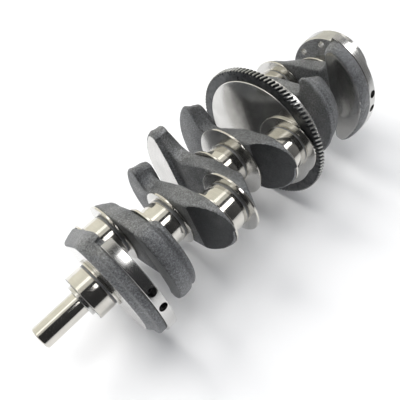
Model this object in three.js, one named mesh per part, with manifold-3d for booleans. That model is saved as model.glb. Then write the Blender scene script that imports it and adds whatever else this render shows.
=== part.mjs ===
// Crankshaft of an in-line four-cylinder engine, with a balance-shaft drive gear on web 6.
// Millimetres. X is the main axis, front (snout) at -X and flywheel flange at +X. Z is up.
// The origin is on the main axis, at half the overall length.

import * as THREE from 'three';
import Module from 'manifold-3d';
import { mergeVertices } from 'three/addons/utils/BufferGeometryUtils.js';

// ---- Driving dimensions ----
const PITCH = 98;                    // from one main journal to the next
const THROW = 45;                    // crankpin offset, half the piston stroke
const FIRST_MAIN = -180;             // centre of main journal 1
const GAP = 29;                      // face to face between two webs
const WEB_T = 20;                    // thickness of a web
const MAIN_R = 26;
const PIN_R = 26.5;
const COLLAR_T = 2.5;                // machined thrust collars on the web faces
const MAIN_COLLAR_R = 34.5;
const FRONT_COLLAR_R = 29;           // main journal 1 has only a narrow one
const THRUST_COLLAR_R = 45;          // main journal 3 takes the end thrust, at its rear
const PIN_COLLAR_R = 37.5;
const FRONT_PIN_COLLAR_R = 33;
const OUTER_ANGLE = -20;             // direction of pins 1 and 4, from +Y towards +Z
const INNER_ANGLE = 160;             // direction of pins 2 and 3
const LOBE_R = 38;                   // rounded pin end of a web on its pin side
const LOBE_MAIN_R = 27;              // the same on the main-journal side: the end is drafted
const LIP = 5.5;                     // extra thickness of a counterweight on its pin side
const LIP_START = 38;                // where that extra thickness begins, from the main axis

const SNOUT_FRONT = -239.5;
const SNOUT_R = 12.3;
const SNOUT_COLLAR_FRONT = -192;
const SNOUT_COLLAR_R = 18;
const MAIN_1_FRONT = -188.5;
const FLANGE_FRONT = 220;
const FLANGE_REAR = 239.5;
const FLANGE_R = 49.5;
const PILOT_R = 15;
const PILOT_DEPTH = 14;
const BOLT_CIRCLE_R = 40;
const BOLTS = 8;
const BOLT_R = 4.5;
const DOWEL_R = 4;

const DISC_R = 74;                   // web 6 is a full disc that carries the gear
const GEAR_TIP_R = 86.5;
const GEAR_ROOT_R = 83;
const GEAR_TEETH = 108;
const GEAR_X0 = 80;
const GEAR_X1 = 88;
const GEAR_HELIX = 20;               // degrees, at the tip circle
const CLEAR = 0.3;                   // gap left where a ring is shrunk on
const OIL_R = 3;

const deg = THREE.MathUtils.degToRad;
const wasm = await Module();
wasm.setup();

// Counterweight of each web: radius and half angle of its fan on the front and rear planes,
// half width of the waist and where the waist is, and the height of the bevel on the pin end.
// side is +1 where the crankpin is on the +X side of the web. A full web has straight flanks.
// Lobe radii and neck widths are given where they differ from the usual, for +v and -v.
const WEBS = [
  { pin: OUTER_ANGLE, side: 1, front: [66, 78], rear: [78, 70], waist: 40, full: true, bevel: 56 },
  { pin: OUTER_ANGLE, side: -1, front: [68, 55], rear: [65, 50], waist: 32, waistU: -24, bevel: 54 },
  { pin: INNER_ANGLE, side: 1, front: [70, 56], rear: [68, 46], waist: 29, waistU: -24, bevel: 44,
    mainLobe: [27, 38], pinLobe: [34, 38], mainNeck: [28, 36] },
  { pin: INNER_ANGLE, side: -1, front: [85, 56], rear: [81, 44], waist: 29, waistU: -24, bevel: 51 },
  { pin: INNER_ANGLE, side: 1, front: [85, 56], rear: [81, 45], waist: 29, waistU: -24, bevel: 41,
    mainLobe: [27, 38], pinLobe: [34, 38], mainNeck: [28, 36] },
  { pin: INNER_ANGLE, side: -1 },
  { pin: OUTER_ANGLE, side: 1, front: [70, 57], rear: [63, 50], waist: 32, waistU: -24, bevel: 54 },
  { pin: OUTER_ANGLE, side: -1, front: [81, 58], rear: [81, 60], waist: 34, waistU: -22, bevel: 56 },
];
const CORNER = 11;                   // rounding of the fan's corners
const FULL_LOBE_END = 59;            // where a straight flank leaves the pin end, in degrees
const FULL_LOBE_R = 33.5;            // pin end of web 1 on its pin side
const RIM_SEAT_R = 70;               // the machined rims sit outside this radius
const RIM_1 = { r: 79.5, half: 58, x0: -151.5, x1: -140, holes: [-15, 0] };
const RIM_8 = { r: 82, half: 59, x0: 186.5, x1: 197.5, holes: [0, 14] };
const RIM_HOLE_R = 4.6;

const mainCentre = (n) => FIRST_MAIN + (n - 1) * PITCH;
const pinCentre = (n) => FIRST_MAIN + PITCH / 2 + (n - 1) * PITCH;

// Front plane of web n: odd webs stand in front of a crankpin, even ones behind it.
function webFront(n) {
  const pin = pinCentre(Math.ceil(n / 2));
  return n % 2 === 1 ? pin - GAP / 2 - WEB_T : pin + GAP / 2;
}

// ---- Solids ----
function closedGeometry(source) {
  const geometry = source.index ? source.toNonIndexed() : source.clone();
  geometry.deleteAttribute('normal');
  geometry.deleteAttribute('uv');
  const merged = mergeVertices(geometry, 1e-4);
  const index = Array.from(merged.index.array);
  const kept = [];
  for (let i = 0; i < index.length; i += 3) {
    const [a, b, c] = index.slice(i, i + 3);
    if (a !== b && b !== c && a !== c) {
      kept.push(a, b, c);
    }
  }
  if (signedVolume(merged.attributes.position, kept) < 0) {
    kept.reverse();
  }
  merged.setIndex(kept);
  return merged;
}

function signedVolume(position, index) {
  const a = new THREE.Vector3();
  const b = new THREE.Vector3();
  const c = new THREE.Vector3();
  let total = 0;
  for (let i = 0; i < index.length; i += 3) {
    a.fromBufferAttribute(position, index[i]);
    b.fromBufferAttribute(position, index[i + 1]);
    c.fromBufferAttribute(position, index[i + 2]);
    total += a.dot(b.cross(c));
  }
  return total / 6;
}

function solid(source) {
  const geometry = closedGeometry(source);
  return new wasm.Manifold(new wasm.Mesh({
    numProp: 3,
    vertProperties: new Float32Array(geometry.attributes.position.array),
    triVerts: new Uint32Array(geometry.index.array),
  }));
}

function geometryOf(manifold) {
  const mesh = manifold.getMesh();
  const geometry = new THREE.BufferGeometry();
  geometry.setAttribute('position', new THREE.BufferAttribute(mesh.vertProperties, 3));
  geometry.setIndex(new THREE.BufferAttribute(mesh.triVerts, 1));
  return geometry;
}

// ---- Building blocks ----
// A body of revolution about X through (y, z); profile is a list of [x, radius].
function turned(profile, segments = 40, y = 0, z = 0) {
  const points = profile.map(([x, r]) => new THREE.Vector2(r, x));
  const geometry = new THREE.LatheGeometry(points, segments);
  const swap = new THREE.Matrix4().set(0, 1, 0, 0, 0, 0, 1, y, 1, 0, 0, z, 0, 0, 0, 1);
  return geometry.applyMatrix4(swap);
}

// A shape drawn in (u, v), u pointing at the given angle about X, extruded from x0 to x1.
function slab(shape, angle, x0, x1, curveSegments = 10, steps = 1) {
  const geometry = new THREE.ExtrudeGeometry(shape, {
    depth: x1 - x0, bevelEnabled: false, curveSegments, steps,
  });
  const c = Math.cos(deg(angle));
  const s = Math.sin(deg(angle));
  geometry.translate(0, 0, x0);
  return geometry.applyMatrix4(new THREE.Matrix4().makeBasis(
    new THREE.Vector3(0, c, s), new THREE.Vector3(0, -s, c), new THREE.Vector3(1, 0, 0)));
}

// A profile drawn in (x, u) and extruded both ways along v: cuts the bevels on the pin ends.
function wedge(points, angle, halfWidth) {
  const shape = new THREE.Shape(points.map(([x, u]) => new THREE.Vector2(x, u)));
  const geometry = new THREE.ExtrudeGeometry(shape, { depth: 2 * halfWidth, bevelEnabled: false });
  const c = Math.cos(deg(angle));
  const s = Math.sin(deg(angle));
  geometry.translate(0, 0, -halfWidth);
  return geometry.applyMatrix4(new THREE.Matrix4().makeBasis(
    new THREE.Vector3(1, 0, 0), new THREE.Vector3(0, c, s), new THREE.Vector3(0, -s, c)));
}

function polar(r, angle) {
  return [r * Math.cos(deg(angle)), r * Math.sin(deg(angle))];
}

// Sector of a ring about the main axis, centred on the counterweight direction.
function ringSector(outer, inner, half) {
  const shape = new THREE.Shape();
  shape.moveTo(...polar(outer, 180 - half));
  shape.absarc(0, 0, outer, deg(180 - half), deg(180 + half), false);
  shape.lineTo(...polar(inner, 180 + half));
  shape.absarc(0, 0, inner, deg(180 + half), deg(180 - half), true);
  shape.closePath();
  return shape;
}

// Points of a quadratic curve from a to c with control point b, without its first point.
function curve(a, b, c, count) {
  const points = [];
  for (let i = 1; i <= count; i += 1) {
    const t = i / count;
    points.push([0, 1].map((k) => (1 - t) ** 2 * a[k] + 2 * t * (1 - t) * b[k] + t * t * c[k]));
  }
  return points;
}

// Outline of a web on one plane, in (u, v) with the pin towards +u: rounded pin end, flank,
// waist and fan with rounded corners. Every outline has the same number of points.
function outline(fan, web, lobes, necks) {
  const lower = flank(fan, web, lobes[1], necks[1]).slice(1, -1).reverse();
  return flank(fan, web, lobes[0], necks[0]).concat(lower.map(([u, v]) => [u, -v]));
}

// Half of an outline, from the tip of the pin end round to the middle of the fan.
function flank([fanR, half], web, lobeR, neck) {
  const upper = [];
  const lobeEnd = web.full ? FULL_LOBE_END : 98;
  for (let i = 0; i <= 8; i += 1) {
    const [u, v] = polar(lobeR, (i * lobeEnd) / 8);
    upper.push([THROW + u, v]);
  }
  const corner = polar(fanR, 180 - half);
  const fanStart = 180 - half + THREE.MathUtils.radToDeg(CORNER / fanR);
  let edge = polar(fanR - CORNER, 180 - half);
  if (web.full) {
    const end = upper[8];
    const along = (t) => [0, 1].map((k) => end[k] + (corner[k] - end[k]) * t);
    edge = along(1 - CORNER / Math.hypot(corner[0] - end[0], corner[1] - end[1]));
    upper.push(along(0.2), along(0.4));
    upper.push(...curve(along(0.4), along(0.6), edge, 3));
  } else {
    const waist = [web.waistU, web.waist];
    upper.push([Math.max(16, web.waistU + 8), neck]);
    upper.push(waist);
    upper.push(...curve(waist, [Math.max(web.waistU - 12, edge[0]), web.waist], edge, 3));
  }
  upper.push(...curve(edge, corner, polar(fanR, fanStart), 4));
  for (let i = 1; i <= 8; i += 1) {
    upper.push(polar(fanR, fanStart + ((180 - fanStart) * i) / 8));
  }
  return upper;
}

// A body with a different outline on its front and rear planes, with the same point count.
function loft(front, rear, angle, x0, x1) {
  const c = Math.cos(deg(angle));
  const s = Math.sin(deg(angle));
  const position = [];
  const put = (points, x) => points.forEach(([u, v]) => {
    position.push(x, u * c - v * s, u * s + v * c);
  });
  put(front, x0);
  put(rear, x1);
  const n = front.length;
  const index = [];
  for (let i = 0; i < n; i += 1) {
    const j = (i + 1) % n;
    index.push(i, j, j + n, i, j + n, i + n);
  }
  const cap = (points) => THREE.ShapeUtils.triangulateShape(
    points.map(([u, v]) => new THREE.Vector2(u, v)), []);
  cap(front).forEach(([a, b, d]) => index.push(a, d, b));
  cap(rear).forEach(([a, b, d]) => index.push(a + n, b + n, d + n));
  const geometry = new THREE.BufferGeometry();
  geometry.setAttribute('position', new THREE.Float32BufferAttribute(position, 3));
  geometry.setIndex(index);
  return geometry;
}

// The part of the fan beyond LIP_START, which is thicker towards the pin side.
function lipShape([fanR, half], waist) {
  const shape = new THREE.Shape();
  const startV = Math.min(waist, (LIP_START - 4) * Math.tan(deg(Math.min(half, 60))));
  const edge = polar(fanR - CORNER, 180 - Math.min(half, 60));
  const corner = polar(fanR, 180 - Math.min(half, 60));
  const fanStart = 180 - Math.min(half, 60) + THREE.MathUtils.radToDeg(CORNER / fanR);
  const points = [[-LIP_START, startV], edge, ...curve(edge, corner, polar(fanR, fanStart), 4)];
  for (let i = 1; i <= 8; i += 1) {
    points.push(polar(fanR, fanStart + ((180 - fanStart) * i) / 8));
  }
  const lower = points.slice(0, -1).reverse().map(([u, v]) => [u, -v]);
  points.concat(lower).forEach(([u, v], i) => {
    if (i === 0) {
      shape.moveTo(u, v);
    } else {
      shape.lineTo(u, v);
    }
  });
  shape.closePath();
  return shape;
}

// Cutter for the flat bevel on the outside of a pin end, deepest on the main-journal side.
function bevelCutter(web, x0) {
  const mainX = web.side > 0 ? x0 : x0 + WEB_T;
  const slope = (THROW + LOBE_R - web.bevel) / WEB_T;
  const out = web.side > 0 ? -1 : 1;
  const near = [mainX + 6 * out, web.bevel - 6 * slope];
  const far = [mainX - (WEB_T + 6) * out, web.bevel + (WEB_T + 6) * slope];
  return solid(wedge([near, far, [near[0], far[1]]], web.pin, 60));
}

// ---- Nodes ----
const crankshaft = new THREE.Group();
crankshaft.name = 'crankshaft';

const FINISH = {
  forged: { color: 0x5b5d60, roughness: 0.62, metalness: 0.85 },
  ground: { color: 0xc9c6bf, roughness: 0.14, metalness: 1 },
  machined: { color: 0xb4b2ad, roughness: 0.26, metalness: 1 },
  gear: { color: 0x4c4e50, roughness: 0.38, metalness: 0.95 },
  pin: { color: 0x8a8b8d, roughness: 0.3, metalness: 1 },
};

function addNode(name, geometry, finish) {
  const closed = closedGeometry(geometry);
  closed.computeVertexNormals();
  const mesh = new THREE.Mesh(closed, new THREE.MeshStandardMaterial(FINISH[finish]));
  mesh.name = name;
  crankshaft.add(mesh);
}

// Ground journal with fillet grooves and a machined collar at either end.
function journalProfile(x0, x1, r, frontCollar, rearCollar) {
  const groove = 3;
  const depth = 0.7;
  const front = frontCollar ? x0 + COLLAR_T : x0;
  const rear = rearCollar ? x1 - COLLAR_T : x1;
  const profile = [[x0, 0]];
  if (frontCollar) {
    profile.push([x0, frontCollar], [front, frontCollar]);
  } else {
    profile.push([x0, r - depth]);
  }
  profile.push([front, r - depth], [front + groove, r - depth], [front + groove, r]);
  profile.push([rear - groove, r], [rear - groove, r - depth], [rear, r - depth]);
  if (rearCollar) {
    profile.push([rear, rearCollar], [x1, rearCollar]);
  }
  profile.push([x1, 0]);
  return profile.filter((p, i) => i === 0 || p[0] !== profile[i - 1][0] || p[1] !== profile[i - 1][1]);
}

// Cross drilling that feeds oil to a bearing, opening on one side of the journal.
function oilHole(x, y, z, r, angle) {
  const geometry = new THREE.CylinderGeometry(OIL_R, OIL_R, 12, 12);
  geometry.translate(0, r - 4, 0);
  geometry.rotateX(deg(angle));
  geometry.translate(x, y, z);
  return solid(geometry);
}

// Snout with the bolt hole that holds the front pulley.
const bolt = solid(turned([[SNOUT_FRONT - 5, 0], [SNOUT_FRONT - 5, 6], [SNOUT_FRONT + 30, 6],
  [SNOUT_FRONT + 33, 0]], 24));
const snoutBody = solid(turned([[SNOUT_FRONT, 0], [SNOUT_FRONT, SNOUT_R - 1.2],
  [SNOUT_FRONT + 1.2, SNOUT_R], [SNOUT_COLLAR_FRONT, SNOUT_R], [SNOUT_COLLAR_FRONT, 0]], 40));
addNode('snout', geometryOf(snoutBody.subtract(bolt)), 'ground');
addNode('snout_collar', turned([[SNOUT_COLLAR_FRONT, 0], [SNOUT_COLLAR_FRONT, SNOUT_COLLAR_R],
  [MAIN_1_FRONT, SNOUT_COLLAR_R], [MAIN_1_FRONT, 0]]), 'machined');

// Main journals.
for (let n = 1; n <= 5; n += 1) {
  const collar = { 1: FRONT_COLLAR_R, 3: THRUST_COLLAR_R }[n] ?? MAIN_COLLAR_R;
  const x0 = n === 1 ? MAIN_1_FRONT : mainCentre(n) - GAP / 2;
  const x1 = n === 5 ? FLANGE_FRONT : mainCentre(n) + GAP / 2;
  const frontCollar = n === 1 ? 0 : MAIN_COLLAR_R;
  const profile = journalProfile(x0, x1, MAIN_R, frontCollar, n === 5 ? 0 : collar);
  const hole = oilHole((x0 + x1) / 2, 0, 0, MAIN_R, -70);
  addNode(`main_journal_${n}`, geometryOf(solid(turned(profile)).subtract(hole)), 'ground');
}

// Crankpins.
for (let n = 1; n <= 4; n += 1) {
  const angle = n === 1 || n === 4 ? OUTER_ANGLE : INNER_ANGLE;
  const [y, z] = polar(THROW, angle);
  const x = pinCentre(n);
  const profile = journalProfile(x - GAP / 2, x + GAP / 2, PIN_R, FRONT_PIN_COLLAR_R, PIN_COLLAR_R);
  const hole = oilHole(x, y, z, PIN_R, -70);
  addNode(`crankpin_${n}`, geometryOf(solid(turned(profile, 40, y, z)).subtract(hole)), 'ground');
}

// Balance drilling, square to the main axis, through a rim into its counterweight.
function balanceHole(rim, relative) {
  const geometry = new THREE.CylinderGeometry(RIM_HOLE_R, RIM_HOLE_R, 30, 16);
  geometry.translate(0, rim.r, 0);
  geometry.rotateX(deg(OUTER_ANGLE + 180 + relative));
  geometry.translate((rim.x0 + rim.x1) / 2, 0, 0);
  return solid(geometry);
}

function rimSeat(web, rim) {
  return solid(slab(ringSector(RIM_SEAT_R + 22, RIM_SEAT_R, rim.half + 7), web.pin, rim.x0, rim.x1 + 3));
}

// Webs.
WEBS.forEach((web, i) => {
  const n = i + 1;
  const x0 = webFront(n);
  const x1 = x0 + WEB_T;
  if (n === 6) {
    addNode('web_6', turned([[x0, 0], [x0, DISC_R], [x1, DISC_R], [x1, 0]], 72), 'machined');
    return;
  }
  const pinR = web.full ? FULL_LOBE_R : LOBE_R;
  const lobes = [web.mainLobe ?? [LOBE_MAIN_R, LOBE_MAIN_R], web.pinLobe ?? [pinR, pinR]];
  const necks = [web.mainNeck ?? [33, 33], [38, 38]];
  if (web.side < 0) {
    lobes.reverse();
    necks.reverse();
  }
  let body = solid(loft(outline(web.front, web, lobes[0], necks[0]),
    outline(web.rear, web, lobes[1], necks[1]), web.pin, x0, x1));
  const [lipR, lipHalf] = web.side > 0 ? web.rear : web.front;
  const lipFan = [lipR - 0.8, lipHalf - 1.5];
  body = body.add(solid(slab(lipShape(lipFan, web.waist), web.pin,
    web.side > 0 ? x0 + 6 : x0 - LIP, web.side > 0 ? x1 + LIP : x1 - 6)));
  body = body.subtract(bevelCutter(web, x0));
  if (n === 1) {
    body = body.subtract(rimSeat(web, RIM_1));
    RIM_1.holes.forEach((relative) => {
      body = body.subtract(balanceHole(RIM_1, relative));
    });
  }
  if (n === 8) {
    body = body.subtract(rimSeat(web, RIM_8));
    RIM_8.holes.forEach((relative) => {
      body = body.subtract(balanceHole(RIM_8, relative));
    });
  }
  addNode(`web_${n}`, geometryOf(body), 'forged');
});

// Machined rims of the two end counterweights.
[[1, RIM_1], [8, RIM_8]].forEach(([n, rim]) => {
  const shape = ringSector(rim.r, RIM_SEAT_R + CLEAR, rim.half);
  let body = solid(slab(shape, OUTER_ANGLE, rim.x0, rim.x1, 24));
  rim.holes.forEach((relative) => {
    body = body.subtract(balanceHole(rim, relative));
  });
  addNode(`web_${n}_machined_rim`, geometryOf(body), 'machined');
});

// Helical gear that drives the balance shafts.
const gearShape = new THREE.Shape();
for (let t = 0; t < GEAR_TEETH; t += 1) {
  const step = 360 / GEAR_TEETH;
  const at = t * step;
  const corners = [[GEAR_ROOT_R, -0.36], [GEAR_TIP_R, -0.16], [GEAR_TIP_R, 0.16], [GEAR_ROOT_R, 0.36]];
  corners.forEach(([r, share], k) => {
    const [y, z] = polar(r, at + share * step);
    if (t === 0 && k === 0) {
      gearShape.moveTo(y, z);
    } else {
      gearShape.lineTo(y, z);
    }
  });
}
gearShape.closePath();
const gearBore = new THREE.Path();
gearBore.absarc(0, 0, DISC_R + CLEAR, 0, 2 * Math.PI, true);
gearShape.holes.push(gearBore);
const gear = slab(gearShape, 0, GEAR_X0, GEAR_X1, 36, 2);
const gearPosition = gear.attributes.position;
const twist = Math.tan(deg(GEAR_HELIX)) / GEAR_TIP_R;
for (let i = 0; i < gearPosition.count; i += 1) {
  const y = gearPosition.getY(i);
  const z = gearPosition.getZ(i);
  const turn = twist * (gearPosition.getX(i) - (GEAR_X0 + GEAR_X1) / 2);
  gearPosition.setY(i, y * Math.cos(turn) - z * Math.sin(turn));
  gearPosition.setZ(i, y * Math.sin(turn) + z * Math.cos(turn));
}
addNode('balance_gear', gear, 'gear');

// Rear flange: seal journal, flywheel bolt holes, pilot bore and dowel hole.
let flange = solid(turned([[FLANGE_FRONT, 0], [FLANGE_FRONT, FLANGE_R - 1.5],
  [FLANGE_FRONT + 1.5, FLANGE_R], [FLANGE_REAR - 1, FLANGE_R], [FLANGE_REAR, FLANGE_R - 1],
  [FLANGE_REAR, 0]], 60));
flange = flange.subtract(solid(turned([[FLANGE_REAR - PILOT_DEPTH, 0],
  [FLANGE_REAR - PILOT_DEPTH, PILOT_R], [FLANGE_REAR + 5, PILOT_R], [FLANGE_REAR + 5, 0]], 36)));
for (let n = 0; n < BOLTS; n += 1) {
  const [y, z] = polar(BOLT_CIRCLE_R, OUTER_ANGLE + n * 360 / BOLTS);
  flange = flange.subtract(solid(turned([[FLANGE_FRONT - 5, 0], [FLANGE_FRONT - 5, BOLT_R],
    [FLANGE_REAR + 5, BOLT_R], [FLANGE_REAR + 5, 0]], 16, y, z)));
}
const [dowelY, dowelZ] = polar(BOLT_CIRCLE_R, OUTER_ANGLE + 22.5);
const dowelFront = FLANGE_REAR - 10;
flange = flange.subtract(solid(turned([[dowelFront, 0], [dowelFront, DOWEL_R + CLEAR],
  [FLANGE_REAR + 5, DOWEL_R + CLEAR], [FLANGE_REAR + 5, 0]], 16, dowelY, dowelZ)));
addNode('rear_flange', geometryOf(flange), 'machined');
addNode('flange_dowel', turned([[dowelFront, 0], [dowelFront, DOWEL_R],
  [FLANGE_REAR - 0.5, DOWEL_R], [FLANGE_REAR - 0.5, 0]], 16, dowelY, dowelZ), 'pin');

export default crankshaft;
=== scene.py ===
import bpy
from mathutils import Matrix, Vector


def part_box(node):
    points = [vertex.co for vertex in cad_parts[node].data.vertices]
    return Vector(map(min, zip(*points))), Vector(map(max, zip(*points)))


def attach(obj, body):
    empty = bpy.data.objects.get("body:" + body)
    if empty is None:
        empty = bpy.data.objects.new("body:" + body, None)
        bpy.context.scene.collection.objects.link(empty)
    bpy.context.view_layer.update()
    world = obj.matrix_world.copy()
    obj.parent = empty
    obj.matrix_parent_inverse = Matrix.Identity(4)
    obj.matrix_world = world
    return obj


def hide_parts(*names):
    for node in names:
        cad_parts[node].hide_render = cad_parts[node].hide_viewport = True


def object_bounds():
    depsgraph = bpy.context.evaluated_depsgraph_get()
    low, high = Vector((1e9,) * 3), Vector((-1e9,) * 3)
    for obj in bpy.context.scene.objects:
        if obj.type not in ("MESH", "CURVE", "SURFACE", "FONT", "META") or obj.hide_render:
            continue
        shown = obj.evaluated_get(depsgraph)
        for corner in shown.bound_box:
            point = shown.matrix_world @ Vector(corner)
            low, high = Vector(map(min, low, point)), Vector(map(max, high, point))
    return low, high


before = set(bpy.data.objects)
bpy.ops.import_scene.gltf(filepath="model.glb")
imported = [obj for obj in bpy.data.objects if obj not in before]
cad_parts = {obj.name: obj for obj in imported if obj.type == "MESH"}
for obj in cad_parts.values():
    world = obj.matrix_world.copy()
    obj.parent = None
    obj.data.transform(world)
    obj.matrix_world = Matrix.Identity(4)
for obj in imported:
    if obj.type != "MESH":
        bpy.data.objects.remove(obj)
BOX = [list(c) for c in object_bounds()]

import math

import bmesh
import bpy
import numpy as np
from mathutils import Matrix, Vector, noise

MM = 0.001

# ---- Dimensions of the CAD, in mm and degrees ----
THROW = 45.0
GAP = 29.0
WEB_T = 20.0
PITCH = 98.0
FIRST_MAIN = -180.0
MAIN_R = 26.0
PIN_R = 26.5
COLLAR_T = 2.5
MAIN_COLLAR_R = 34.5
FRONT_COLLAR_R = 29.0
THRUST_COLLAR_R = 45.0
PIN_COLLAR_R = 37.5
FRONT_PIN_COLLAR_R = 33.0
OUTER = -20.0
INNER = 160.0
LOBE_R = 38.0
LOBE_MAIN_R = 27.0
LIP = 5.5
LIP_START = 38.0
CORNER = 11.0
FULL_LOBE_END = 59.0
FULL_LOBE_R = 33.5
DISC_R = 74.0
RIM_SEAT_R = 70.0
RIM_1 = {"r": 79.5, "half": 58, "x0": -151.5, "x1": -140.0, "holes": (-15, 0)}
RIM_8 = {"r": 82.0, "half": 59, "x0": 186.5, "x1": 197.5, "holes": (0, 14)}
RIM_HOLE_R = 4.6
RIM_HOLE_DEPTH = 15.0
SEAT_GAP = 0.3
SNOUT_R = 12.3
SNOUT_COLLAR_R = 18.0
PULLEY_BOLT_R = 6.0
PULLEY_BOLT_DEPTH = 30.0
FLANGE_R = 49.5
FLANGE_BOLTS = 8
BOLT_CIRCLE_R = 40.0
BOLT_HOLE_R = 4.5
PILOT_R = 15.0
PILOT_DEPTH = 14.0
DOWEL_R = 4.0
DOWEL_DEPTH = 10.0
OIL_HOLE_R = 3.0
OIL_HOLE_ANGLE = -70.0
GEAR_TEETH = 108
GEAR_TIP_R = 86.5
GEAR_ROOT_R = 83.0
GEAR_HELIX = 20.0

# Each web: its pin's angle, the side the pin is on (1 rear, -1 front), the radius and half angle of its fan
# on the front and rear faces, its waist, and the height at which its pin end starts to be bevelled.
WEBS = [
    {"pin": OUTER, "side": 1, "front": (66, 78), "rear": (78, 70), "waist": 40, "full": True, "bevel": 56},
    {"pin": OUTER, "side": -1, "front": (68, 55), "rear": (65, 50), "waist": 32, "waist_u": -24, "bevel": 54},
    {"pin": INNER, "side": 1, "front": (70, 56), "rear": (68, 46), "waist": 29, "waist_u": -24, "bevel": 44,
     "main_lobe": (27, 38), "pin_lobe": (34, 38), "main_neck": (28, 36)},
    {"pin": INNER, "side": -1, "front": (85, 56), "rear": (81, 44), "waist": 29, "waist_u": -24, "bevel": 51},
    {"pin": INNER, "side": 1, "front": (85, 56), "rear": (81, 45), "waist": 29, "waist_u": -24, "bevel": 41,
     "main_lobe": (27, 38), "pin_lobe": (34, 38), "main_neck": (28, 36)},
    None,
    {"pin": OUTER, "side": 1, "front": (70, 57), "rear": (63, 50), "waist": 32, "waist_u": -24, "bevel": 54},
    {"pin": OUTER, "side": -1, "front": (81, 58), "rear": (81, 60), "waist": 34, "waist_u": -22, "bevel": 56},
]


def web_front(n):
    """X of the front face of web n."""
    pin = FIRST_MAIN + PITCH / 2 + ((n + 1) // 2 - 1) * PITCH
    return pin - GAP / 2 - WEB_T if n % 2 else pin + GAP / 2


def polar(r, angle):
    """The point at radius r and at an angle in degrees."""
    return r * math.cos(math.radians(angle)), r * math.sin(math.radians(angle))


# ---- Materials ----
class Nodes:
    """A small helper to wire shader nodes."""

    def __init__(self, name):
        self.material = bpy.data.materials.new(name)
        self.material.use_nodes = True
        self.tree = self.material.node_tree
        self.shader = self.tree.nodes["Principled BSDF"]
        self.coords = self.tree.nodes.new("ShaderNodeTexCoord")

    def add(self, kind, **values):
        node = self.tree.nodes.new(kind)
        for key, value in values.items():
            if key in node.inputs:
                node.inputs[key].default_value = value
            else:
                setattr(node, key, value)
        return node

    def link(self, a, b):
        self.tree.links.new(a, b)

    def object_coords(self, scale=(1, 1, 1)):
        mapping = self.add("ShaderNodeMapping")
        mapping.inputs["Scale"].default_value = scale
        self.link(self.coords.outputs["Object"], mapping.inputs["Vector"])
        return mapping.outputs["Vector"]

    def noise(self, vector, scale, detail=2.0, roughness=0.5):
        node = self.add("ShaderNodeTexNoise", Scale=scale, Detail=detail, Roughness=roughness)
        self.link(vector, node.inputs["Vector"])
        return node.outputs["Fac"]

    def ramp(self, factor, stops):
        node = self.add("ShaderNodeValToRGB")
        ramp = node.color_ramp
        while len(ramp.elements) < len(stops):
            ramp.elements.new(0.5)
        for element, (position, value) in zip(ramp.elements, stops):
            element.position = position
            colour = value if isinstance(value, tuple) else (value, value, value)
            element.color = (*colour, 1)
        self.link(factor, node.inputs["Fac"])
        return node.outputs["Color"]

    def mix(self, factor, a, b, blend="MIX"):
        node = self.add("ShaderNodeMix", data_type="RGBA", blend_type=blend)
        for socket, value in ((node.inputs[0], factor), (node.inputs[6], a), (node.inputs[7], b)):
            if hasattr(value, "is_linked"):
                self.link(value, socket)
            elif isinstance(value, tuple):
                socket.default_value = (*value, 1)
            else:
                socket.default_value = value
        return node.outputs[2]

    def bump(self, height, strength, distance, normal=None):
        node = self.add("ShaderNodeBump", Strength=strength, Distance=distance)
        self.link(height, node.inputs["Height"])
        if normal is not None:
            self.link(normal, node.inputs["Normal"])
        return node.outputs["Normal"]

    def axis_radius(self, split):
        """Distance from the X axis, from coordinates that are already split."""
        flat = self.add("ShaderNodeCombineXYZ")
        self.link(split.outputs["Y"], flat.inputs["X"])
        self.link(split.outputs["Z"], flat.inputs["Y"])
        radius = self.add("ShaderNodeVectorMath", operation="LENGTH")
        self.link(flat.outputs["Vector"], radius.inputs[0])
        return radius.outputs["Value"]

    def finish(self, colour, roughness, metallic, normal):
        self.link(colour, self.shader.inputs["Base Color"])
        self.link(roughness, self.shader.inputs["Roughness"])
        self.shader.inputs["Metallic"].default_value = metallic
        self.link(normal, self.shader.inputs["Normal"])
        return self.material


def forged_steel(name="forged_steel", tone=1.0, grit=1.0):
    """Shot-blasted scale: dark grey with a coarse grain, lighter on worn edges. tone scales the colour."""
    m = Nodes(name)
    at = m.object_coords()
    grain = m.noise(at, 1500, 3, 0.6)
    blast = m.noise(at, 560, 4, 0.72)
    patches = m.noise(at, 32, 5, 0.6)
    tones = [(0.3, (0.16, 0.165, 0.174)), (0.55, (0.225, 0.23, 0.236)), (0.75, (0.31, 0.312, 0.314))]
    colour = m.ramp(patches, [(stop, tuple(tone * c for c in rgb)) for stop, rgb in tones])
    speck = m.ramp(blast, [(0.36, 0.55), (0.5, 0.95), (0.64, 1.5)])
    fine = m.ramp(grain, [(0.36, 0.7), (0.64, 1.3)])
    colour = m.mix(1.0, m.mix(grit, colour, speck, "MULTIPLY"), fine, "MULTIPLY")
    geometry = m.add("ShaderNodeNewGeometry")
    edge = m.ramp(geometry.outputs["Pointiness"], [(0.53, 0.0), (0.62, 0.55)])
    colour = m.mix(edge, colour, (0.42 * tone, 0.42 * tone, 0.41 * tone))
    roughness = m.ramp(blast, [(0.3, 0.4), (0.7, 0.6)])
    coarse = m.bump(blast, 0.8 * grit, 0.0009)
    return m.finish(colour, roughness, 0.8, m.bump(grain, 0.5, 0.0003, coarse))


def ground_steel():
    """Journals: circular grinding lines round the X axis."""
    m = Nodes("ground_steel")
    rings = m.noise(m.object_coords((2600, 6, 6)), 1.0, 3, 0.7)
    wear = m.noise(m.object_coords(), 60, 4, 0.55)
    colour = m.ramp(wear, [(0.3, (0.62, 0.60, 0.55)), (0.7, (0.72, 0.70, 0.655))])
    colour = m.mix(0.25, colour, m.ramp(rings, [(0.35, 0.75), (0.65, 1.15)]), "MULTIPLY")
    roughness = m.ramp(rings, [(0.3, 0.07), (0.7, 0.16)])
    return m.finish(colour, roughness, 1.0, m.bump(rings, 0.12, 0.00005))


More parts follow.
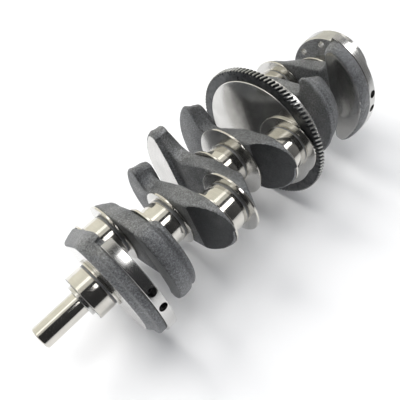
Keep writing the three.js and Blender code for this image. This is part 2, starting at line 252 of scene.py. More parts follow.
def machined_steel():
    """Turned faces and rims: fine rings about the main axis, in radius and along X."""
    m = Nodes("machined_steel")
    split = m.add("ShaderNodeSeparateXYZ")
    m.link(m.coords.outputs["Object"], split.inputs["Vector"])
    lines = m.add("ShaderNodeCombineXYZ")
    m.link(m.axis_radius(split), lines.inputs["X"])
    m.link(split.outputs["X"], lines.inputs["Y"])
    rings = m.noise(lines.outputs["Vector"], 2400, 2, 0.7)
    wear = m.noise(m.object_coords(), 45, 4, 0.6)
    colour = m.ramp(wear, [(0.3, (0.56, 0.555, 0.54)), (0.7, (0.67, 0.665, 0.65))])
    colour = m.mix(0.3, colour, m.ramp(rings, [(0.35, 0.7), (0.65, 1.2)]), "MULTIPLY")
    roughness = m.ramp(rings, [(0.3, 0.13), (0.7, 0.24)])
    return m.finish(colour, roughness, 1.0, m.bump(rings, 0.18, 0.00006))


def gear_steel():
    """Dark between the teeth as painted shade, light on their tips as painted highlight."""
    m = Nodes("gear_steel")
    at = m.object_coords()
    stain = m.noise(at, 220, 4, 0.6)
    split = m.add("ShaderNodeSeparateXYZ")
    m.link(at, split.inputs["Vector"])
    reach = m.add("ShaderNodeMapRange")
    reach.inputs["From Min"].default_value = (GEAR_ROOT_R + 0.5) * MM
    reach.inputs["From Max"].default_value = GEAR_TIP_R * MM
    m.link(m.axis_radius(split), reach.inputs["Value"])
    # Painted shade and highlight: the colour runs from dark in the gaps between the teeth to light on the
    # tips.
    edge = m.ramp(reach.outputs["Result"], [(0.55, 0.0), (0.9, 0.9)])
    dark = m.ramp(stain, [(0.3, (0.05, 0.052, 0.056)), (0.7, (0.115, 0.118, 0.12))])
    colour = m.mix(edge, dark, (0.5, 0.5, 0.48))
    roughness = m.ramp(stain, [(0.3, 0.24), (0.7, 0.42)])
    return m.finish(colour, roughness, 0.9, m.bump(m.noise(at, 1800, 3, 0.6), 0.25, 0.00012))


def pin_steel():
    """The dowel: plain ground steel, greyer than the journals."""
    m = Nodes("pin_steel")
    lines = m.noise(m.object_coords((1800, 40, 40)), 1.0, 3, 0.6)
    colour = m.ramp(lines, [(0.3, (0.4, 0.4, 0.4)), (0.7, (0.55, 0.55, 0.54))])
    roughness = m.ramp(lines, [(0.3, 0.2), (0.7, 0.34)])
    return m.finish(colour, roughness, 1.0, m.bump(lines, 0.2, 0.00006))


MATERIALS = {
    "forged_steel": forged_steel(),
    "ground_steel": ground_steel(),
    "machined_steel": machined_steel(),
    "gear_steel": gear_steel(),
    "pin_steel": pin_steel(),
    # A darker, smoother copy of the forged scale for the bevel faces. The smoother grain is a finish, and the
    # darkness is painted shade.
    "scale_painted_shade": forged_steel("scale_painted_shade", 0.3, 0.35),
    # A dull, darker finish for the undercut grooves of the journals: painted shade in the grooves.
    "undercut": forged_steel("undercut", 1.1, 0.05),
    "scale_smooth": forged_steel("scale_smooth", 1.75, 0.12),
}


# ---- Mesh building ----
def face_table(mesh):
    """Centres in mm and normals of all faces."""
    centre = np.zeros(len(mesh.polygons) * 3)
    facing = np.zeros(len(mesh.polygons) * 3)
    mesh.polygons.foreach_get("center", centre)
    mesh.polygons.foreach_get("normal", facing)
    return centre.reshape(-1, 3) / MM, facing.reshape(-1, 3)


def finish_faces(obj, chosen, key):
    """Gives the chosen faces of a piece another finish."""
    mesh = obj.data
    mesh.materials.append(MATERIALS[key])
    index = np.zeros(len(mesh.polygons), np.int32)
    mesh.polygons.foreach_get("material_index", index)
    index[chosen] = len(mesh.materials) - 1
    mesh.polygons.foreach_set("material_index", index)


def add_piece(name, node, vertices, faces, slot):
    """Makes the shown piece for one CAD node. vertices are in mm."""
    mesh = bpy.data.meshes.new(name)
    points = np.asarray(vertices, float) * MM
    low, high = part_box(node)
    points = np.clip(points, np.array(low), np.array(high))
    mesh.from_pydata([tuple(p) for p in points], [], [tuple(f) for f in faces])
    mesh.update()
    obj = bpy.data.objects.new(name, mesh)
    bpy.context.scene.collection.objects.link(obj)
    mesh.materials.append(MATERIALS[slot])
    mesh.polygons.foreach_set("use_smooth", np.full(len(mesh.polygons), True))
    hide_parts(node)
    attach(obj, "root")
    return obj


def curve(a, b, c, places):
    """Points of the quadratic curve from a to c with its corner at b."""
    a, b, c = (np.array(p, float) for p in (a, b, c))
    return [tuple((1 - t) ** 2 * a + 2 * t * (1 - t) * b + t * t * c) for t in places]


def arc_corner(a, b, c, r):
    """Points that round corner b of the path a, b, c with radius about r."""
    a, b, c = (np.array(p, float) for p in (a, b, c))
    ab = (a - b) / max(np.linalg.norm(a - b), 1e-9)
    cb = (c - b) / max(np.linalg.norm(c - b), 1e-9)
    return curve(b + ab * r, b, b + cb * r, np.linspace(0, 1, 5))


def rounded(profile, r=0.4):
    """A profile with every inner corner rounded; ends stay on the axis."""
    out = [profile[0]]
    for a, b, c in zip(profile, profile[1:], profile[2:]):
        size = min(r, 0.45 * math.dist(a, b), 0.45 * math.dist(b, c))
        out += arc_corner(a, b, c, size) if b[1] > 0 else [b]
    return out + [profile[-1]]


def revolve(profile, segments=192, y=0.0, z=0.0):
    """Vertices and faces of a closed body of revolution about X through (y, z)."""
    vertices = []
    rings = []
    for x, r in profile:
        if r < 1e-6:
            rings.append([len(vertices)] * segments)
            vertices.append((x, y, z))
            continue
        start = len(vertices)
        for k in range(segments):
            angle = 2 * math.pi * k / segments
            vertices.append((x, y + r * math.cos(angle), z + r * math.sin(angle)))
        rings.append(list(range(start, start + segments)))
    faces = []
    for a, b in zip(rings, rings[1:]):
        for k in range(segments):
            j = (k + 1) % segments
            face = [a[k], b[k], b[j], a[j]]
            face = [v for i, v in enumerate(face) if v not in face[:i]]
            if len(face) > 2:
                faces.append(face[::-1])
    return vertices, faces


def cut(obj, cutters):
    """Subtracts closed bodies from a piece, then drops the cutters."""
    for vertices, faces in cutters:
        mesh = bpy.data.meshes.new("cutter")
        mesh.from_pydata([tuple(np.array(v) * MM) for v in vertices], [], faces)
        mesh.update()
        cutter = bpy.data.objects.new("cutter", mesh)
        bpy.context.scene.collection.objects.link(cutter)
        modifier = obj.modifiers.new("cut", "BOOLEAN")
        modifier.operation = "DIFFERENCE"
        modifier.solver = "EXACT"
        modifier.object = cutter
        depsgraph = bpy.context.evaluated_depsgraph_get()
        result = bpy.data.meshes.new_from_object(obj.evaluated_get(depsgraph))
        obj.modifiers.clear()
        old = obj.data
        obj.data = result
        bpy.data.meshes.remove(old)
        bpy.data.objects.remove(cutter)
        bpy.data.meshes.remove(mesh)


def sharpen(obj, angle=28):
    """Smooth shading with the true edges kept crisp."""
    mesh = obj.data
    bm = bmesh.new()
    bm.from_mesh(mesh)
    for face in bm.faces:
        face.smooth = True
    for edge in bm.edges:
        edge.smooth = not (edge.is_manifold and edge.calc_face_angle(0) > math.radians(angle))
    bm.to_mesh(mesh)
    bm.free()


def rod(r, length, segments, matrix):
    """A closed cylinder along local +X, placed by a matrix in mm."""
    vertices, faces = revolve([(0, 0), (0, r), (length, r), (length, 0)], segments)
    return [tuple(matrix @ Vector(v)) for v in vertices], faces


# ---- Turned pieces ----
def dress_journal(obj, y, z, r):
    """Undercuts beside the collars darkened as painted shade, and turned collar faces."""
    centre, facing = face_table(obj.data)
    radius = np.hypot(centre[:, 1] - y, centre[:, 2] - z)
    finish_faces(obj, (np.abs(facing[:, 0]) > 0.9) & (radius > r + 1), "machined_steel")
    # The undercut grooves beside the collars are darkened as painted shade.
    finish_faces(obj, (radius > r - 1.4) & (radius < r - 0.3) & (np.abs(facing[:, 0]) < 0.9), "undercut")


def journal_profile(x0, x1, r, front_collar, rear_collar):
    """Profile of a journal; beside each collar it is undercut, an end without one is chamfered."""
    def end(x, inward, collar):
        if not collar:
            return [(x, 0), (x, r - 0.8), (x + 0.8 * inward, r)]
        edge = x + COLLAR_T * inward
        steps = [(0.0, r + 1.6), (0.3, r - 0.6), (1.0, r - 0.9), (1.9, r - 0.9), (2.3, r)]
        return [(x, 0), (x, collar), (edge, collar)] + [(edge + a * inward, b) for a, b in steps]

    return end(x0, 1, front_collar) + end(x1, -1, rear_collar)[::-1]


def drill(x, y, z, angle, r, start, length, segments):
    """A drill of radius r, pointing away from the line along X through (y, z) at an angle."""
    place = Matrix.Translation((x, y, z)) @ Matrix.Rotation(math.radians(angle), 4, "X")
    place = place @ Matrix.Rotation(math.radians(90), 4, "Z")
    return rod(r, length, segments, place @ Matrix.Translation((start, 0, 0)))


def oil_hole(x, y, z, r):
    return drill(x, y, z, OIL_HOLE_ANGLE, OIL_HOLE_R, r - 10.0, 12.0, 32)


def bore(x0, x1, r, segments, y=0.0, z=0.0):
    """A closed cylinder along X, used to cut a hole."""
    return revolve([(x0, 0), (x0, r), (x1, r), (x1, 0)], segments, y, z)


def turned(name, profile, slot, y=0.0, z=0.0, cutters=(), segments=192):
    """A piece turned about the line along X through (y, z), with its holes cut."""
    vertices, faces = revolve(rounded(profile), segments, y, z)
    obj = add_piece(f"v_{name}", name, vertices, faces, slot)
    if cutters:
        cut(obj, cutters)
    sharpen(obj)
    return obj


lo, hi = (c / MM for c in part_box("snout"))
tip = lo.x + PULLEY_BOLT_DEPTH
bolt_hole = revolve([(lo.x - 3, 0), (lo.x - 3, PULLEY_BOLT_R), (tip, PULLEY_BOLT_R), (tip + 3, 0)], 64)
turned("snout", [(lo.x, 0), (lo.x, SNOUT_R - 1.2), (lo.x + 1.2, SNOUT_R), (hi.x, SNOUT_R), (hi.x, 0)],
       "ground_steel", cutters=[bolt_hole])
lo, hi = (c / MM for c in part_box("snout_collar"))
turned("snout_collar", [(lo.x, 0), (lo.x, SNOUT_COLLAR_R - 0.4), (lo.x + 0.5, SNOUT_COLLAR_R),
                        (hi.x, SNOUT_COLLAR_R), (hi.x, 0)], "machined_steel")
for n in range(1, 6):
    lo, hi = (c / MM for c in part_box(f"main_journal_{n}"))
    collar = {1: FRONT_COLLAR_R, 3: THRUST_COLLAR_R}.get(n, MAIN_COLLAR_R)
    path = journal_profile(lo.x, hi.x, MAIN_R, 0 if n == 1 else MAIN_COLLAR_R, 0 if n == 5 else collar)
    journal = turned(f"main_journal_{n}", path, "ground_steel",
                     cutters=[oil_hole((lo.x + hi.x) / 2, 0, 0, MAIN_R)])
    dress_journal(journal, 0, 0, MAIN_R)
for n in range(1, 5):
    lo, hi = (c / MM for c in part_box(f"crankpin_{n}"))
    y, z = polar(THROW, OUTER if n in (1, 4) else INNER)
    path = journal_profile(lo.x, hi.x, PIN_R, FRONT_PIN_COLLAR_R, PIN_COLLAR_R)
    journal = turned(f"crankpin_{n}", path, "ground_steel", y, z,
                     cutters=[oil_hole((lo.x + hi.x) / 2, y, z, PIN_R)])
    dress_journal(journal, y, z, PIN_R)

lo, hi = (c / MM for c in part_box("web_6"))
turned("web_6", [(lo.x, 0), (lo.x, DISC_R - 0.8), (lo.x + 0.8, DISC_R), (hi.x - 0.8, DISC_R),
                 (hi.x, DISC_R - 0.8), (hi.x, 0)], "machined_steel", segments=256)

lo, hi = (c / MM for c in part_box("rear_flange"))
bores = [bore(hi.x - PILOT_DEPTH, hi.x + 4, PILOT_R, 96)]
for n in range(FLANGE_BOLTS):
    y, z = polar(BOLT_CIRCLE_R, OUTER + n * 360 / FLANGE_BOLTS)
    bores.append(bore(lo.x - 4, hi.x + 4, BOLT_HOLE_R, 40, y, z))
dowel_y, dowel_z = polar(BOLT_CIRCLE_R, OUTER + 180 / FLANGE_BOLTS)
bores.append(bore(hi.x - DOWEL_DEPTH, hi.x + 4, DOWEL_R + SEAT_GAP, 40, dowel_y, dowel_z))
flange = turned("rear_flange", [(lo.x, 0), (lo.x, FLANGE_R - 1.5), (lo.x + 1.5, FLANGE_R),
                                (hi.x - 1, FLANGE_R), (hi.x, FLANGE_R - 1), (hi.x, 0)],
                "machined_steel", cutters=bores)
centre, facing = face_table(flange.data)
finish_faces(flange, (facing[:, 0] < -0.9) & (centre[:, 0] < lo.x + 0.5), "forged_steel")
lo, hi = (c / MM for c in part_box("flange_dowel"))
turned("flange_dowel", [(lo.x, 0), (lo.x, DOWEL_R), (hi.x - 0.6, DOWEL_R), (hi.x, DOWEL_R - 0.6), (hi.x, 0)],
       "pin_steel", dowel_y, dowel_z, segments=48)


# ---- Forged webs: a rounded solid described by distances, then meshed ----
# A web is drawn in u and v: u runs from the main axis to the crankpin's, v across it, both in mm.
ARC_STEPS = 24
LOBE_END = 98
INSET = 0.25
SEAM_DEPTH = 0.3
SEAM_WIDTH = 1.4
EDGE_ROUND = 4.0
LIP_ROUND = 3.0
LIP_BLEND = 5.0
BEVEL_ROUND = 1.2
GROOVE_DEPTH = 2.6
GROOVE_WIDTH = 2.2
LUMP_SCALE = 0.16
LUMP_DEPTH = 0.12


def bend(a, b, c, count):
    """Points that follow a on the curve to c with its corner at b."""
    return curve(a, b, c, np.arange(1, count + 1) / count)


def outline(fan, web, lobes, necks):
    """Closed outline of a web; lobes and necks are given for the +v and the -v side."""
    lower = flank(fan, web, lobes[1], necks[1])[1:-1]
    return flank(fan, web, lobes[0], necks[0]) + [(u, -v) for u, v in reversed(lower)]


def fan_arc(fan_r, start):
    return [polar(fan_r, start + (180 - start) * i / ARC_STEPS) for i in range(1, ARC_STEPS + 1)]


def flank(fan, web, lobe_r, neck):
    """The +v half of a web's outline, from the end of its pin lobe to the end of its fan."""
    fan_r, half = fan
    full = web.get("full", False)
    upper = []
    for i in range(ARC_STEPS + 1):
        u, v = polar(lobe_r, i * (FULL_LOBE_END if full else LOBE_END) / ARC_STEPS)
        upper.append((THROW + u, v))
    corner = polar(fan_r, 180 - half)
    edge = polar(fan_r - CORNER, 180 - half)
    fan_start = 180 - half + math.degrees(CORNER / fan_r)
    if full:
        end = upper[-1]
        t = 1 - CORNER / math.dist(end, corner)
        edge = tuple(a + (b - a) * t for a, b in zip(end, corner))
        upper.append(edge)
    else:
        waist = (web["waist_u"], web["waist"])
        upper.append((max(16, web["waist_u"] + 8), neck))
        upper.append(waist)
        upper += bend(waist, (max(web["waist_u"] - 12, edge[0]), web["waist"]), edge, 10)
    upper += bend(edge, corner, polar(fan_r, fan_start), 8)
    return upper + fan_arc(fan_r, fan_start)


def lip_outline(fan, waist):
    """Outline of the thicker outer part of a fan, which stands out on the crankpin's side."""
    fan_r, half = fan[0] - 0.8, min(fan[1] - 1.5, 60)
    start_v = min(waist, (LIP_START - 4) * math.tan(math.radians(half)))
    fan_start = 180 - half + math.degrees(CORNER / fan_r)
    points = [(-LIP_START, start_v), polar(fan_r - CORNER, 180 - half)]
    points += bend(points[1], polar(fan_r, 180 - half), polar(fan_r, fan_start), 8)
    points += fan_arc(fan_r, fan_start)
    return points + [(u, -v) for u, v in reversed(points[:-1])]


def polygon_distance(points, u, v):
    """Signed distance to a closed polygon, negative inside."""
    best = np.full(u.shape, 1e9)
    inside = np.zeros(u.shape, bool)
    for (ax, ay), (bx, by) in zip(points, points[1:] + points[:1]):
        ex, ey = bx - ax, by - ay
        length = ex * ex + ey * ey
        if length < 1e-12:
            continue
        t = np.clip(((u - ax) * ex + (v - ay) * ey) / length, 0, 1)
        best = np.minimum(best, (u - ax - t * ex) ** 2 + (v - ay - t * ey) ** 2)
        crosses = (ay > v) != (by > v)
        where = ax + (v - ay) * ex / (ey if abs(ey) > 1e-12 else 1e-12)
        inside ^= crosses & (u < where)
    return np.where(inside, -1, 1) * np.sqrt(best)


def smooth_max(a, b, k):
    """The larger of two distances, with the crease between them rounded over k."""
    h = np.maximum(k - np.abs(a - b), 0) / k
    return np.maximum(a, b) + h * h * k * 0.25


def smooth_min(a, b, k):
    return -smooth_max(-a, -b, k)


def web_distance(n):
    """Distance function of web n in (x, u, v), in mm, with the corners of the space it needs."""
    web = WEBS[n - 1]
    x0 = web_front(n)
    x1 = x0 + WEB_T
    side = web["side"]
    pin_r = FULL_LOBE_R if web.get("full") else LOBE_R
    lobes = [web.get("main_lobe", (LOBE_MAIN_R, LOBE_MAIN_R)), web.get("pin_lobe", (pin_r, pin_r))]
    necks = [web.get("main_neck", (33, 33)), (38, 38)]
    if side < 0:
        lobes.reverse()
        necks.reverse()
    front = outline(web["front"], web, lobes[0], necks[0])
    rear = outline(web["rear"], web, lobes[1], necks[1])
    lip = lip_outline(web["rear"] if side > 0 else web["front"], web["waist"])
    lip_x = (x0 + 6, x1 + LIP) if side > 0 else (x0 - LIP, x1 - 6)
    main_x = x0 if side > 0 else x1
    rise = THROW + LOBE_R - web["bevel"]
    length = math.hypot(WEB_T, rise)
    rim = {1: RIM_1, 8: RIM_8}.get(n)

    def distance(x, u, v):
        t = np.clip((x - x0) / WEB_T, 0, 1)
        wall = (1 - t) * polygon_distance(front, u, v) + t * polygon_distance(rear, u, v)
        seam = np.exp(-((x - (x0 + x1) / 2) / SEAM_WIDTH) ** 2)
        wall = wall + INSET - SEAM_DEPTH * seam
        body = smooth_max(wall, np.maximum(x0 - x, x - x1), EDGE_ROUND)
        lip_ends = np.maximum(lip_x[0] - x, x - lip_x[1])
        thick = smooth_max(polygon_distance(lip, u, v) + 0.2, lip_ends, LIP_ROUND)
        d = smooth_min(body, thick, LIP_BLEND)
        bevel = ((main_x - x) * side * rise + (u - web["bevel"]) * WEB_T) / length
        d = smooth_max(d, bevel, BEVEL_ROUND)
        r = np.hypot(u, v)
        if n in (2, 7):
            groove_x = lip_x[1] - 1.5 if side < 0 else lip_x[0] + 1.5
            fade = np.clip((-u - 30) / 14, 0, 1)
            d = d + GROOVE_DEPTH * fade * np.exp(-((x - groove_x) / GROOVE_WIDTH) ** 2)
        if rim:
            away = np.degrees(np.abs(np.arctan2(v, -u)))
            seat = np.maximum(RIM_SEAT_R - r, rim["x0"] - x)
            seat = np.maximum(seat, np.radians(away - rim["half"] - 7) * r)
            seat = np.maximum(seat, x - rim["x1"] - 3) if n == 8 else seat
            d = np.maximum(d, -seat)
            for relative in rim["holes"]:
                cu, cv = polar(1, 180 + relative)
                along = u * cu + v * cv
                across = np.hypot(x - (rim["x0"] + rim["x1"]) / 2, -u * cv + v * cu)
                d = np.maximum(d, -np.maximum(across - RIM_HOLE_R, rim["r"] - RIM_HOLE_DEPTH - along))
        return d

    reach = max(web["front"][0], web["rear"][0], THROW + LOBE_R) + 3
    low = (min(x0, lip_x[0]) - 2, -reach, -reach)
    high = (max(x1, lip_x[1]) + 2, THROW + LOBE_R + 3, reach)
    return distance, low, high


def surface_net(distance, low, high, step):
    """Quads of the zero surface in steps of a grid, with the vertices moved on to it."""
    axes = [np.arange(a, b + step, step) for a, b in zip(low, high)]
    shape = tuple(len(a) for a in axes)
    u2, v2 = np.meshgrid(axes[1], axes[2], indexing="ij")
    values = np.stack([distance(np.full(u2.shape, x), u2, v2) for x in axes[0]])
    inside = values < 0
    cells = tuple(s - 1 for s in shape)
    total = np.zeros(cells + (3,))
    count = np.zeros(cells)
    corners = [(i, j, k) for i in (0, 1) for j in (0, 1) for k in (0, 1)]
    for a in corners:
        for axis in range(3):
            if a[axis]:
                continue
            b = list(a)
            b[axis] = 1
            sa = tuple(slice(o, o + c) for o, c in zip(a, cells))
            sb = tuple(slice(o, o + c) for o, c in zip(b, cells))
            crossing = inside[sa] != inside[sb]
            t = np.where(crossing, values[sa] / np.where(crossing, values[sa] - values[sb], 1), 0)
            for k in range(3):
                total[..., k] += np.where(crossing, a[k] + (t if k == axis else 0), 0)
            count += crossing
    active = count > 0
    number = np.full(cells, -1)
    number[active] = np.arange(active.sum())
    where = np.argwhere(active)
    points = np.array(low) + (where + total[active] / count[active][:, None]) * step
    faces = []
    for axis in range(3):
        p, q = [(1, 2), (2, 0), (0, 1)][axis]
        sa = [slice(1, -1)] * 3
        sb = [slice(1, -1)] * 3
        sa[axis] = slice(0, -1)
        sb[axis] = slice(1, None)
        a, b = inside[tuple(sa)], inside[tuple(sb)]
        for flip in (False, True):
            hit = np.argwhere((a & ~b) if not flip else (~a & b))
            if not len(hit):
                continue
            base = hit + 1
            base[:, axis] -= 1
            quad = []
            for dp, dq in ((-1, -1), (0, -1), (0, 0), (-1, 0)):
                cell = base.copy()
                cell[:, p] += dp
                cell[:, q] += dq
                quad.append(number[cell[:, 0], cell[:, 1], cell[:, 2]])
            quad = np.stack(quad, 1)
            faces.append(quad[:, ::-1] if flip else quad)
    faces = np.concatenate(faces)
    normal = np.zeros_like(points)
    for _ in range(3):
        d = distance(*points.T)
        for k in range(3):
            nudge = np.zeros(3)
            nudge[k] = 0.15
            normal[:, k] = (distance(*(points + nudge).T) - distance(*(points - nudge).T)) / 0.3
        size = np.maximum(np.linalg.norm(normal, axis=1, keepdims=True), 0.4)
        points = points - np.clip(d[:, None] * normal / size ** 2, -0.6 * step, 0.6 * step)
    return points, faces


STEP = 1.0
for n in (1, 2, 3, 4, 5, 7, 8):
    web = WEBS[n - 1]
    distance, low, high = web_distance(n)
    points, faces = surface_net(distance, low, high, STEP)
    c, s = polar(1, web["pin"])
    x, u, v = points.T
    placed = np.stack([x, u * c - v * s, u * s + v * c], 1)
    lumps = np.array([noise.noise(Vector(p) * LUMP_SCALE) for p in placed])
    radial = placed.copy()
    radial[:, 0] = 0
    radial /= np.maximum(np.linalg.norm(radial, axis=1, keepdims=True), 1)
    placed -= radial * LUMP_DEPTH * (1 + lumps[:, None])
    pin_face = web_front(n) + WEB_T + LIP if web["side"] > 0 else web_front(n) - LIP

    obj = add_piece(f"v_web_{n}", f"web_{n}", placed, faces.tolist(), "forged_steel")
    centre, facing = face_table(obj.data)
    along = centre[:, 1] * c + centre[:, 2] * s
    chosen = (np.abs(centre[:, 0] - pin_face) < 0.35) & (facing[:, 0] * web["side"] > 0.97)
    if n == 1:
        chosen |= (np.abs(centre[:, 0] - web_front(1)) < 0.35) & (facing[:, 0] < -0.97)
    finish_faces(obj, chosen, "scale_smooth" if n == 2 else "machined_steel")
    rise = THROW + LOBE_R - web["bevel"]
    normal = np.array([-web["side"] * rise, WEB_T * c, WEB_T * s]) / math.hypot(rise, WEB_T)
    # The bevel faces take the darker copy of the scale as painted shade.
    finish_faces(obj, (facing @ normal > 0.965) & (along > web["bevel"] - 2), "scale_painted_shade")


# ---- Machined rims ----
def sector(outer, inner, half, x0, x1):
    """A closed sector of a ring, chamfered on its outer edges, centred on the counterweights."""
    chamfer = 0.6
    section = [(x0, inner), (x0, outer - chamfer), (x0 + chamfer, outer), (x1 - chamfer, outer),
               (x1, outer - chamfer), (x1, inner)]
    section = rounded(section, 0.3)
    steps = 160
    vertices = []
    for i in range(steps + 1):
        angle = OUTER + 180 - half + 2 * half * i / steps
        for x, r in section:
            vertices.append((x, *polar(r, angle)))
    m = len(section)
    faces = [list(range(m))]
    for i in range(steps):
        for k in range(m):
            j = (k + 1) % m
            faces.append([i * m + k, (i + 1) * m + k, (i + 1) * m + j, i * m + j])
    faces.append([steps * m + k for k in reversed(range(m))])
    return vertices, [f[::-1] for f in faces]


for n, rim in ((1, RIM_1), (8, RIM_8)):
    vertices, faces = sector(rim["r"], RIM_SEAT_R + SEAT_GAP, rim["half"], rim["x0"], rim["x1"])
    name = f"web_{n}_machined_rim"
    obj = add_piece(f"v_{name}", name, vertices, faces, "machined_steel")
    middle = (rim["x0"] + rim["x1"]) / 2
    cut(obj, [drill(middle, 0, 0, OUTER + 180 + relative, RIM_HOLE_R, rim["r"] - RIM_HOLE_DEPTH, 30, 48)
              for relative in rim["holes"]])
    sharpen(obj)


# ---- Gear ----
def gear_piece():
    """A helical ring: the outline of all teeth, turned a little at each station along X."""
    tip, root = GEAR_TIP_R, GEAR_ROOT_R
    lo, hi = (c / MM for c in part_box("balance_gear"))
    step = 360 / GEAR_TEETH
    flank = [(root, -0.42), (root + 0.25, -0.36), (root + 1.3, -0.28), (root + 2.6, -0.2),
             (tip - 0.25, -0.155), (tip, -0.12)]
    tooth = flank + [(r, -share) for r, share in reversed(flank)]
    ring = [(r, (t + share) * step) for t in range(GEAR_TEETH) for r, share in tooth]
    chamfer = 1.1
    stations = [(lo.x, tip - chamfer), (lo.x + 0.5, tip - 0.5), (lo.x + chamfer, tip)]
    stations += [(lo.x + chamfer + (hi.x - lo.x - 2 * chamfer) * k / 6, tip) for k in range(1, 6)]
    stations += [(hi.x - chamfer, tip), (hi.x - 0.5, tip - 0.5), (hi.x, tip - chamfer)]
    twist = math.degrees(math.tan(math.radians(GEAR_HELIX)) / tip)
    inner = DISC_R + SEAT_GAP
    count = len(ring)
    vertices = []
    for x, limit in stations:
        turn = twist * (x - (lo.x + hi.x) / 2)
        vertices += [(x, *polar(min(r, limit), a + turn)) for r, a in ring]
    outer_total = len(vertices)
    for x in (lo.x, hi.x):
        turn = twist * (x - (lo.x + hi.x) / 2)
        vertices += [(x, *polar(inner, a + turn)) for r, a in ring]
    faces = []
    for s in range(len(stations) - 1):
        for k in range(count):
            j = (k + 1) % count
            faces.append([s * count + k, s * count + j, (s + 1) * count + j, (s + 1) * count + k])
    last = (len(stations) - 1) * count
    for k in range(count):
        j = (k + 1) % count
        faces.append([outer_total + k, outer_total + j, j, k])
        faces.append([last + k, last + j, outer_total + count + j, outer_total + count + k])
        faces.append([outer_total + count + k, outer_total + count + j, outer_total + j, outer_total + k])
    obj = add_piece("v_balance_gear", "balance_gear", vertices, faces, "gear_steel")
    sharpen(obj, 24)


gear_piece()

# ---- Studio ----
FLOOR_Z = BOX[0][2] - 0.0005
FLOOR_SIZE = 8.0


def simple_material(name, colour, emission=0.0):
    material = bpy.data.materials.new(name)
    material.use_nodes = True
    shader = material.node_tree.nodes["Principled BSDF"]
    shader.inputs["Base Color"].default_value = (*colour, 1)
    shader.inputs["Roughness"].default_value = 0.6
    shader.inputs["Specular IOR Level"].default_value = 0.2
    if emission:
        shader.inputs["Emission Color"].default_value = (*colour, 1)
        shader.inputs["Emission Strength"].default_value = emission
    return material


def stage_mesh(name, vertices, faces, material):
    """A mesh of the studio, in metres, that isn't part of the object."""
    mesh = bpy.data.meshes.new(name)
    mesh.from_pydata(vertices, [], faces)
    mesh.materials.append(material)
    obj = bpy.data.objects.new(name, mesh)
    bpy.context.scene.collection.objects.link(obj)
    return obj


floor = [(a * FLOOR_SIZE, b * FLOOR_SIZE, FLOOR_Z) for a, b in ((-1, -1), (1, -1), (1, 1), (-1, 1))]
stage_mesh("floor", floor, [(0, 1, 2, 3)], simple_material("paper", (0.93, 0.925, 0.92)))


def card(name, start, end, radius, x0, x1, colour, emission):
    """A long strip along X, seen only in reflections, spanning two angles about the shaft."""
    vertices = []
    steps = 12
    for i in range(steps + 1):
        y, z = polar(radius, start + (end - start) * i / steps)
        vertices += [(x0, y, z), (x1, y, z)]
    faces = [(2 * i, 2 * i + 1, 2 * i + 3, 2 * i + 2) for i in range(steps)]
    obj = stage_mesh(name, vertices, faces, simple_material(name, colour, emission))
    obj.visible_camera = False
    obj.visible_diffuse = False
    obj.visible_shadow = False
    obj.visible_transmission = False
    return obj


def shade_along(obj, stops):
    """Makes a card's brightness change along X; stops are (metres, brightness)."""
    tree = obj.active_material.node_tree
    coords = tree.nodes.new("ShaderNodeTexCoord")
    split = tree.nodes.new("ShaderNodeSeparateXYZ")
    scaled = tree.nodes.new("ShaderNodeMapRange")
    scaled.inputs["From Min"].default_value = stops[0][0]
    scaled.inputs["From Max"].default_value = stops[-1][0]
    ramp = tree.nodes.new("ShaderNodeValToRGB")
    while len(ramp.color_ramp.elements) < len(stops):
        ramp.color_ramp.elements.new(0.5)
    span = stops[-1][0] - stops[0][0]
    for element, (x, value) in zip(ramp.color_ramp.elements, stops):
        element.position = (x - stops[0][0]) / span
        element.color = (value, value, value, 1)
    shader = tree.nodes["Principled BSDF"]
    tree.links.new(coords.outputs["Object"], split.inputs["Vector"])
    tree.links.new(split.outputs["X"], scaled.inputs["Value"])
    tree.links.new(scaled.outputs["Result"], ramp.inputs["Fac"])
    tree.links.new(ramp.outputs["Color"], shader.inputs["Emission Color"])
    shader.inputs["Emission Strength"].default_value = 1.0


dark = card("dark_card", 93, 181, 1.6, -4, 5, (0.01, 0.01, 0.012), 0.0)
shade_along(dark, [(-4.0, 0.012), (0.25, 0.012), (0.7, 0.06), (1.2, 0.18), (3.0, 0.34)])
card("soft_strip", 107, 123, 1.5, 0.02, 5, (1, 1, 1), 3.6)
card("far_wall", -2, 62, 1.7, -5, 5, (0.53, 0.515, 0.45), 1.0)
card("warm_strip", 62, 76, 1.65, -5, 5, (1.0, 0.985, 0.93), 0.85)
card("upper_wall", 76, 93, 1.7, -5, 5, (0.4, 0.39, 0.36), 1.0)


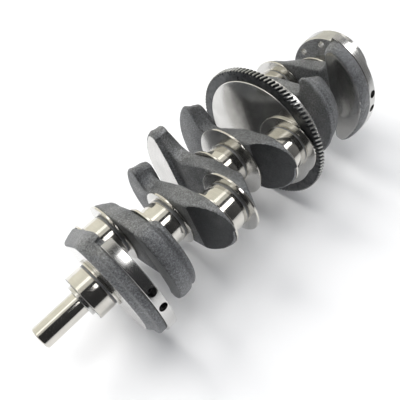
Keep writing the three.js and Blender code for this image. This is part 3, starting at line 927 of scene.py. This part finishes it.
def area(name, position, size, power, colour=(1, 1, 1)):
    """A square light that points at the shaft's middle."""
    data = bpy.data.lights.new(name, "AREA")
    data.shape = "SQUARE"
    data.size = size
    data.energy = power
    data.color = colour
    obj = bpy.data.objects.new(name, data)
    obj.location = position
    obj.rotation_euler = (-Vector(position)).to_track_quat("-Z", "Y").to_euler()
    bpy.context.scene.collection.objects.link(obj)
    obj.visible_glossy = False
    return obj


area("window", (-0.2, 1.1, 1.35), 0.8, 19, (1, 0.99, 0.975))
area("overhead", (-0.05, 0.1, 1.6), 0.8, 11)

world = bpy.data.worlds.new("studio")
bpy.context.scene.world = world
world.use_nodes = True
tree = world.node_tree
direction = tree.nodes.new("ShaderNodeTexCoord")
split = tree.nodes.new("ShaderNodeSeparateXYZ")
sky = tree.nodes.new("ShaderNodeValToRGB")
sky.color_ramp.elements[0].color = (0.17, 0.175, 0.19, 1)
sky.color_ramp.elements[1].color = (0.58, 0.595, 0.62, 1)
sky.color_ramp.elements[1].position = 0.8
tree.links.new(direction.outputs["Generated"], split.inputs["Vector"])
tree.links.new(split.outputs["Z"], sky.inputs["Fac"])
tree.links.new(sky.outputs["Color"], tree.nodes["Background"].inputs["Color"])
tree.nodes["Background"].inputs["Strength"].default_value = 1.0

# ---- Camera ----
SENSOR = 36
FOCAL_WIDTHS = 1.049
CAMERA_AT = (-0.1945, -0.2035, 0.3807)
AZIMUTH, ELEVATION, ROLL = 39.91, 56.33, 8.47

camera_data = bpy.data.cameras.new("camera")
camera_data.sensor_width = SENSOR
camera_data.lens = SENSOR * FOCAL_WIDTHS
camera_data.clip_start = 0.01
camera = bpy.data.objects.new("camera", camera_data)
camera.location = CAMERA_AT
aim = Matrix.Rotation(math.radians(-AZIMUTH), 4, "Z") @ Matrix.Rotation(math.radians(90 - ELEVATION), 4, "X")
camera.rotation_euler = (aim @ Matrix.Rotation(math.radians(-ROLL), 4, "Z")).to_euler()
bpy.context.scene.collection.objects.link(camera)
bpy.context.scene.camera = camera
bpy.context.scene.view_settings.view_transform = "Standard"
